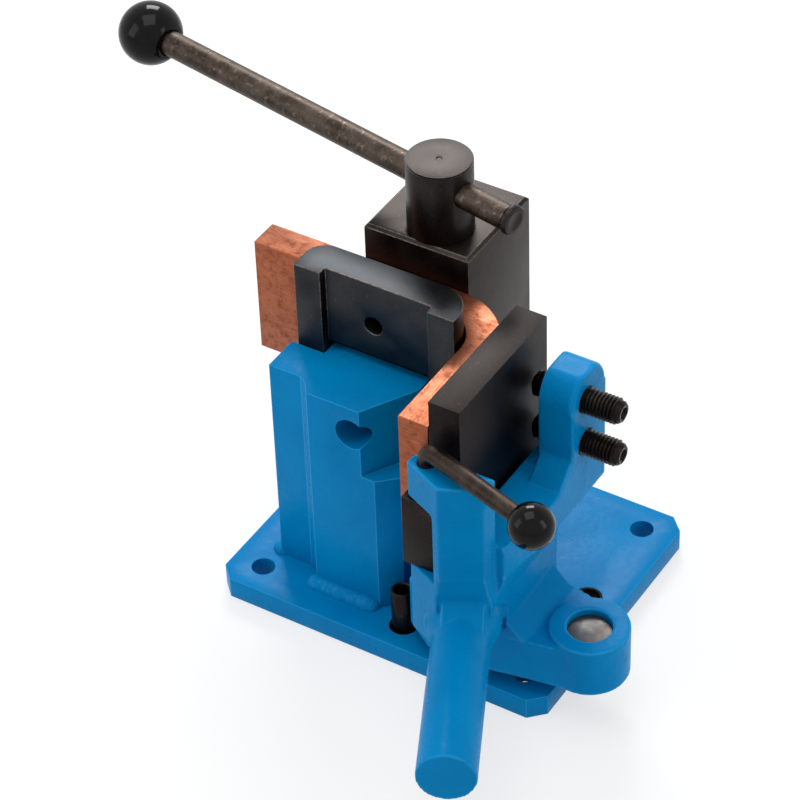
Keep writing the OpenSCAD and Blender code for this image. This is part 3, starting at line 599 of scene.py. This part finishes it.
# Fillets where the upright stands on the arm's floor and where the eye grows out of the body:
# start, end, which way the foot runs out, and size
UPRIGHT_FRONT_Y = -24.6
UPRIGHT_LEFT_X = 59.3
FLOOR_Z = 104.5
BODY_RIGHT_X = 66.3
EYE_TOP_Z = 42.5
FILLETS = [
    ((60.3, UPRIGHT_FRONT_Y, FLOOR_Z), (76, UPRIGHT_FRONT_Y, FLOOR_Z), (0, -1, 0), 11),
    ((BODY_RIGHT_X, -66, EYE_TOP_Z), (BODY_RIGHT_X, -24, EYE_TOP_Z), (1, 0, 0), 9),
    ((UPRIGHT_LEFT_X, -24, FLOOR_Z + 0.2), (UPRIGHT_LEFT_X, 4, FLOOR_Z + 0.2), (-1, 0, 0), 7),
]
for start, end, out, size in FILLETS:
    wedge(arm, ((0, 0, 0), Vector(out) * size, (0, 0, size)), start, end)

# The handle's root: a collar round the handle, a lump over it that fills the notch in the body, and
# a slope from the lump down to the collar
HANDLE_TURN = math.radians(26.3)
HANDLE_DIR = Vector((math.sin(HANDLE_TURN), -math.cos(HANDLE_TURN), 0))
HANDLE_SIDE = Vector((math.cos(HANDLE_TURN), math.sin(HANDLE_TURN), 0))
HANDLE_ROOT = Vector((60, -92.5, 57))
COLLAR = [(0, -26), (16.5, -26), (16.5, -12), (15.5, -8), (13.8, -3), (12.8, 2), (0, 2)]
LUMP_WIDTH = 23.6
LUMP_DEPTH = 16.4
LUMP_H = 15.2
LUMP_ASIDE = 1.2
LUMP_BACK = 15.4
LUMP_FOOT = 3
SLOPE_LEFT = -8.8
SLOPE_RIGHT = 10
SLOPE_BACK = 7.3
SLOPE_RUN = 11.3
SLOPE_RISE = 5


def from_root(aside, back, up):
    """A point seen from the handle's root: to the right of it, back into the body, and up."""
    return HANDLE_ROOT + HANDLE_SIDE * aside - HANDLE_DIR * back + Vector((0, 0, up))


join(arm, spun(COLLAR, HANDLE_ROOT, HANDLE_DIR, steps=48))
slope = ((0, 0, 0), (0, 0, LUMP_H), HANDLE_DIR * SLOPE_RUN + Vector((0, 0, SLOPE_RISE)))
wedge(arm, slope, from_root(SLOPE_LEFT, SLOPE_BACK, LUMP_FOOT),
      from_root(SLOPE_RIGHT, SLOPE_BACK, LUMP_FOOT))
block(arm, from_root(LUMP_ASIDE, LUMP_BACK, LUMP_FOOT + LUMP_H / 2),
      (LUMP_WIDTH, LUMP_DEPTH, LUMP_H), HANDLE_TURN)

# The shoe's way is milled to the solid's walls, and so is the pocket for the shoe's lug in front of
# it; the cutter goes a hair deeper, so that it leaves no skin
CUTTER_MORE = 0.05
WAY_RIGHT_X = 51.2 + CUTTER_MORE
WAY_FRONT_Y = -75.8 - CUTTER_MORE
WAY_FLOOR_Z = 84.5 - CUTTER_MORE
LUG_FRONT_Y = -85.5 - CUTTER_MORE
LUG_RIGHT_X = 46 + CUTTER_MORE
LUG_TOP_Z = 123.3 + CUTTER_MORE
# How far one cut runs into the next
CUTTER_LAP = 1
# Places outside the arm, where the cutters start
LEFT_X = 0
FRONT_Y = -110
REAR_Y = 60
TOP_Z = 160
MILLED = [
    ((LEFT_X, WAY_FRONT_Y, WAY_FLOOR_Z), (WAY_RIGHT_X, REAR_Y, TOP_Z)),
    ((LEFT_X, LUG_FRONT_Y, WAY_FLOOR_Z), (WAY_RIGHT_X, WAY_FRONT_Y + CUTTER_LAP, LUG_TOP_Z)),
    ((LEFT_X, FRONT_Y, WAY_FLOOR_Z), (LUG_RIGHT_X, LUG_FRONT_Y + CUTTER_LAP, LUG_TOP_Z)),
]
softened("arm_cast", arm, CAST_ENAMEL, "arm", ("swing_arm",),
         grid_mm=0.75, rounds=5, keep=0.42, milled=MILLED)
eased("knuckle_pin", PIN_STEEL, "arm", edge_mm=0.6)

# Presser shoe

eased("presser_plate", SHOE_STEEL, "shoe", edge_mm=0.6)
eased("presser_foot", SHOE_STEEL, "shoe", edge_mm=0.4)
eased("foot_screws", SCREW_STEEL, "shoe", edge_mm=0.2, segments=2)

# Set screws: the thread's pitch and depth, half its width at crest and root, how far its root sinks
# into the core, where it starts, what stays plain in all, and how it runs out at both ends

THREAD_PITCH = 1.75
THREAD_DEPTH = 1.0
CREST_HALF = 0.12
ROOT_HALF = 0.85
ROOT_SUNK = 0.3
CORE_SHARE = 0.85
TURN_STEPS = 32
PLAIN_START = 0.9
PLAIN_TOTAL = 1.6
RUNOUT_TURNS = 0.5
RUNOUT_SHARE = 0.14


def threaded_screw(node, body):
    """A set screw: the model's solid turned down to its core, with a rolled thread round it."""
    low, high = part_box(node)
    axis = Vector((0, (low.y + high.y) / 2, (low.z + high.z) / 2))
    crest = (high.z - low.z) / 2
    root = crest - (THREAD_DEPTH + ROOT_SUNK) * MM
    pitch = THREAD_PITCH * MM
    turns = int((high.x - low.x - PLAIN_TOTAL * MM) / pitch)

    thread = bmesh.new()
    section = [(root, -ROOT_HALF), (crest, -CREST_HALF), (crest, CREST_HALF), (root, ROOT_HALF)]
    ring = thread.faces.new([thread.verts.new((h * MM, r, 0)) for r, h in section])
    bmesh.ops.spin(thread, geom=[ring], cent=(0, 0, 0), axis=(1, 0, 0),
                   dvec=(pitch / TURN_STEPS, 0, 0), angle=2 * math.pi * turns,
                   steps=turns * TURN_STEPS)
    for vert in thread.verts:
        run = max(0, min(vert.co.x, turns * pitch - vert.co.x)) / pitch
        vert.co.yz *= 1 - RUNOUT_SHARE * max(0, 1 - run / RUNOUT_TURNS)
    start = Vector((low.x + PLAIN_START * MM, 0, 0)) + axis
    bmesh.ops.translate(thread, vec=start, verts=thread.verts)
    bmesh.ops.recalc_face_normals(thread, faces=thread.faces)

    core = merged_copy(node)
    slim = Matrix.Translation(axis) @ Matrix.Diagonal((1, CORE_SHARE, CORE_SHARE, 1))
    bmesh.ops.transform(core, matrix=slim @ Matrix.Translation(-axis), verts=core.verts)
    join(core, thread)
    name = node + "_thread"
    return dressed(name, as_mesh(name, core), SCREW_STEEL, body, (node,),
                   sharp_deg=30)


threaded_screw("set_screw_upper", "screw_upper")
threaded_screw("set_screw_lower", "screw_lower")

# Release cam: its pin, and the ball on its rod

eased("cam_pin", ROD_SCALE, "release_cam", edge_mm=0.3, segments=2)

ROD_TURN = math.radians(-17.3)
ROD_DIR = Vector((math.cos(ROD_TURN), math.sin(ROD_TURN), 0))
ROD_START = Vector((38, -80.6, middle_mm("cam_knob").z))
ROD_REACH = 64
ROD_R = 4
CAM_BALL_R = 10
turned("cam_ball", ball_profile(CAM_BALL_R, ROD_R + 1, ROD_R + BORE_GAP),
       ROD_START + ROD_DIR * ROD_REACH, ROD_DIR, PHENOLIC, "release_cam", ("cam_knob",))

# Stop pin: a sleeve

stop_low, stop_high = box_mm("stop_pin")
stop_mid = (stop_low + stop_high) / 2
STOP_R = (stop_high.x - stop_low.x) / 2
STOP_LEN = stop_high.z - stop_low.z
STOP_BORE_R = 3.6
STOP_PROFILE = [
    (STOP_BORE_R, 0.6), (STOP_BORE_R + 0.6, 0), (STOP_R - 0.6, 0), (STOP_R, 0.8),
    (STOP_R, STOP_LEN - 0.9), (STOP_R - 0.4, STOP_LEN - 0.2), (STOP_R - 0.9, STOP_LEN),
    (STOP_BORE_R + 0.3, STOP_LEN - 0.2), (STOP_BORE_R, STOP_LEN - 0.8), (STOP_BORE_R, 0.6)]
turned("stop_sleeve", STOP_PROFILE, (stop_mid.x, stop_mid.y, stop_low.z), (0, 0, 1), SCREW_STEEL,
       "stop", ("stop_pin",))

# Bar

eased("copper_bar", COPPER, "workpiece", edge_mm=0.5)

# Solids of the model whose shape is right as it is

KEPT = {
    "shaft_bush": BRONZE, "thrust_washer": BRONZE, "pivot_bush_lower": BRONZE,
    "pivot_bush_upper": BRONZE, "pivot_pin": PIVOT_STEEL, "pivot_washer": BLACK_STEEL,
    "pivot_screw": SCREW_STEEL, "jaw_key": PIVOT_STEEL, "shaft_washer": PIVOT_STEEL,
    "shaft_nut": PIVOT_STEEL, "cam_rod": ROD_SCALE,
}
for node, material in KEPT.items():
    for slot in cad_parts[node].material_slots:
        slot.material = material

# Floor and background. Both show white to the camera and in reflections; the floor keeps a share of
# its lit surface there, and with it the shadow


def plain_rays(tree):
    """1 for camera rays and for mirrored and transmitted ones, 0 for the rays that light things."""
    path = add(tree, "ShaderNodeLightPath").outputs
    seen = add(tree, "ShaderNodeMath", {0: path["Is Camera Ray"], 1: path["Is Glossy Ray"]},
               operation="MAXIMUM").outputs[0]
    return add(tree, "ShaderNodeMath", {0: seen, 1: path["Is Transmission Ray"]},
               operation="MAXIMUM").outputs[0]


# Half the floor's side and its height in metres
FLOOR_HALF = 6
FLOOR_AT_Z = -0.0002
FLOOR_SHARE = 0.35
SKY_LIGHT = 0.55

floor_bm = bmesh.new()
bmesh.ops.create_grid(floor_bm, x_segments=1, y_segments=1, size=FLOOR_HALF)
floor = bpy.data.objects.new("floor", as_mesh("floor", floor_bm))
bpy.context.scene.collection.objects.link(floor)
floor.location.z = FLOOR_AT_Z
floor_paint, tree, shader, _ = new_material("floor_paint")
shader.inputs["Base Color"].default_value = linear("#EFEFEF")
shader.inputs["Roughness"].default_value = 0.9
shader.inputs["Specular IOR Level"].default_value = 0.1
white = add(tree, "ShaderNodeEmission", {"Color": linear("#FFFFFF"), "Strength": 1.0})
amount = add(tree, "ShaderNodeMath", {0: plain_rays(tree), 1: 1 - FLOOR_SHARE},
             operation="MULTIPLY")
mixed = add(tree, "ShaderNodeMixShader", {
    0: amount.outputs[0], 1: shader.outputs[0], 2: white.outputs[0]})
tree.links.new(mixed.outputs[0], tree.nodes["Material Output"].inputs["Surface"])
floor.data.materials.append(floor_paint)

world = bpy.data.worlds.new("studio")
world.use_nodes = True
bpy.context.scene.world = world
tree = world.node_tree
glow = tree.nodes["Background"]
glow.inputs["Color"].default_value = linear("#FFFFFF")
strength = add(tree, "ShaderNodeMapRange", {
    "Value": plain_rays(tree), "To Min": SKY_LIGHT, "To Max": 1.0})
tree.links.new(strength.outputs["Result"], glow.inputs["Strength"])

# Soft boxes: place, size across and along in metres, watts

LAMPS = {
    "rear": ((-0.56, 0.86, 0.98), 0.55, 0.4, 11.5),
    "top": ((-0.1, -0.1, 1.3), 0.8, 0.8, 5.5),
    "left": ((-0.9, -0.9, 0.7), 0.6, 0.9, 3.5),
    "right": ((1.2, 0.1, 0.7), 0.4, 0.8, 3.0),
}
LAMPS_AIM = Vector((0, -0.02, 0.09))
for name, (at, across, along, watts) in LAMPS.items():
    data = bpy.data.lights.new(name, "AREA")
    data.shape = "RECTANGLE"
    data.size, data.size_y = across, along
    data.energy = watts
    lamp = bpy.data.objects.new(name, data)
    bpy.context.scene.collection.objects.link(lamp)
    lamp.location = at
    lamp.rotation_mode = "QUATERNION"
    lamp.rotation_quaternion = (Vector(at) - LAMPS_AIM).to_track_quat("Z", "Y")

bpy.context.scene.view_settings.view_transform = "Standard"
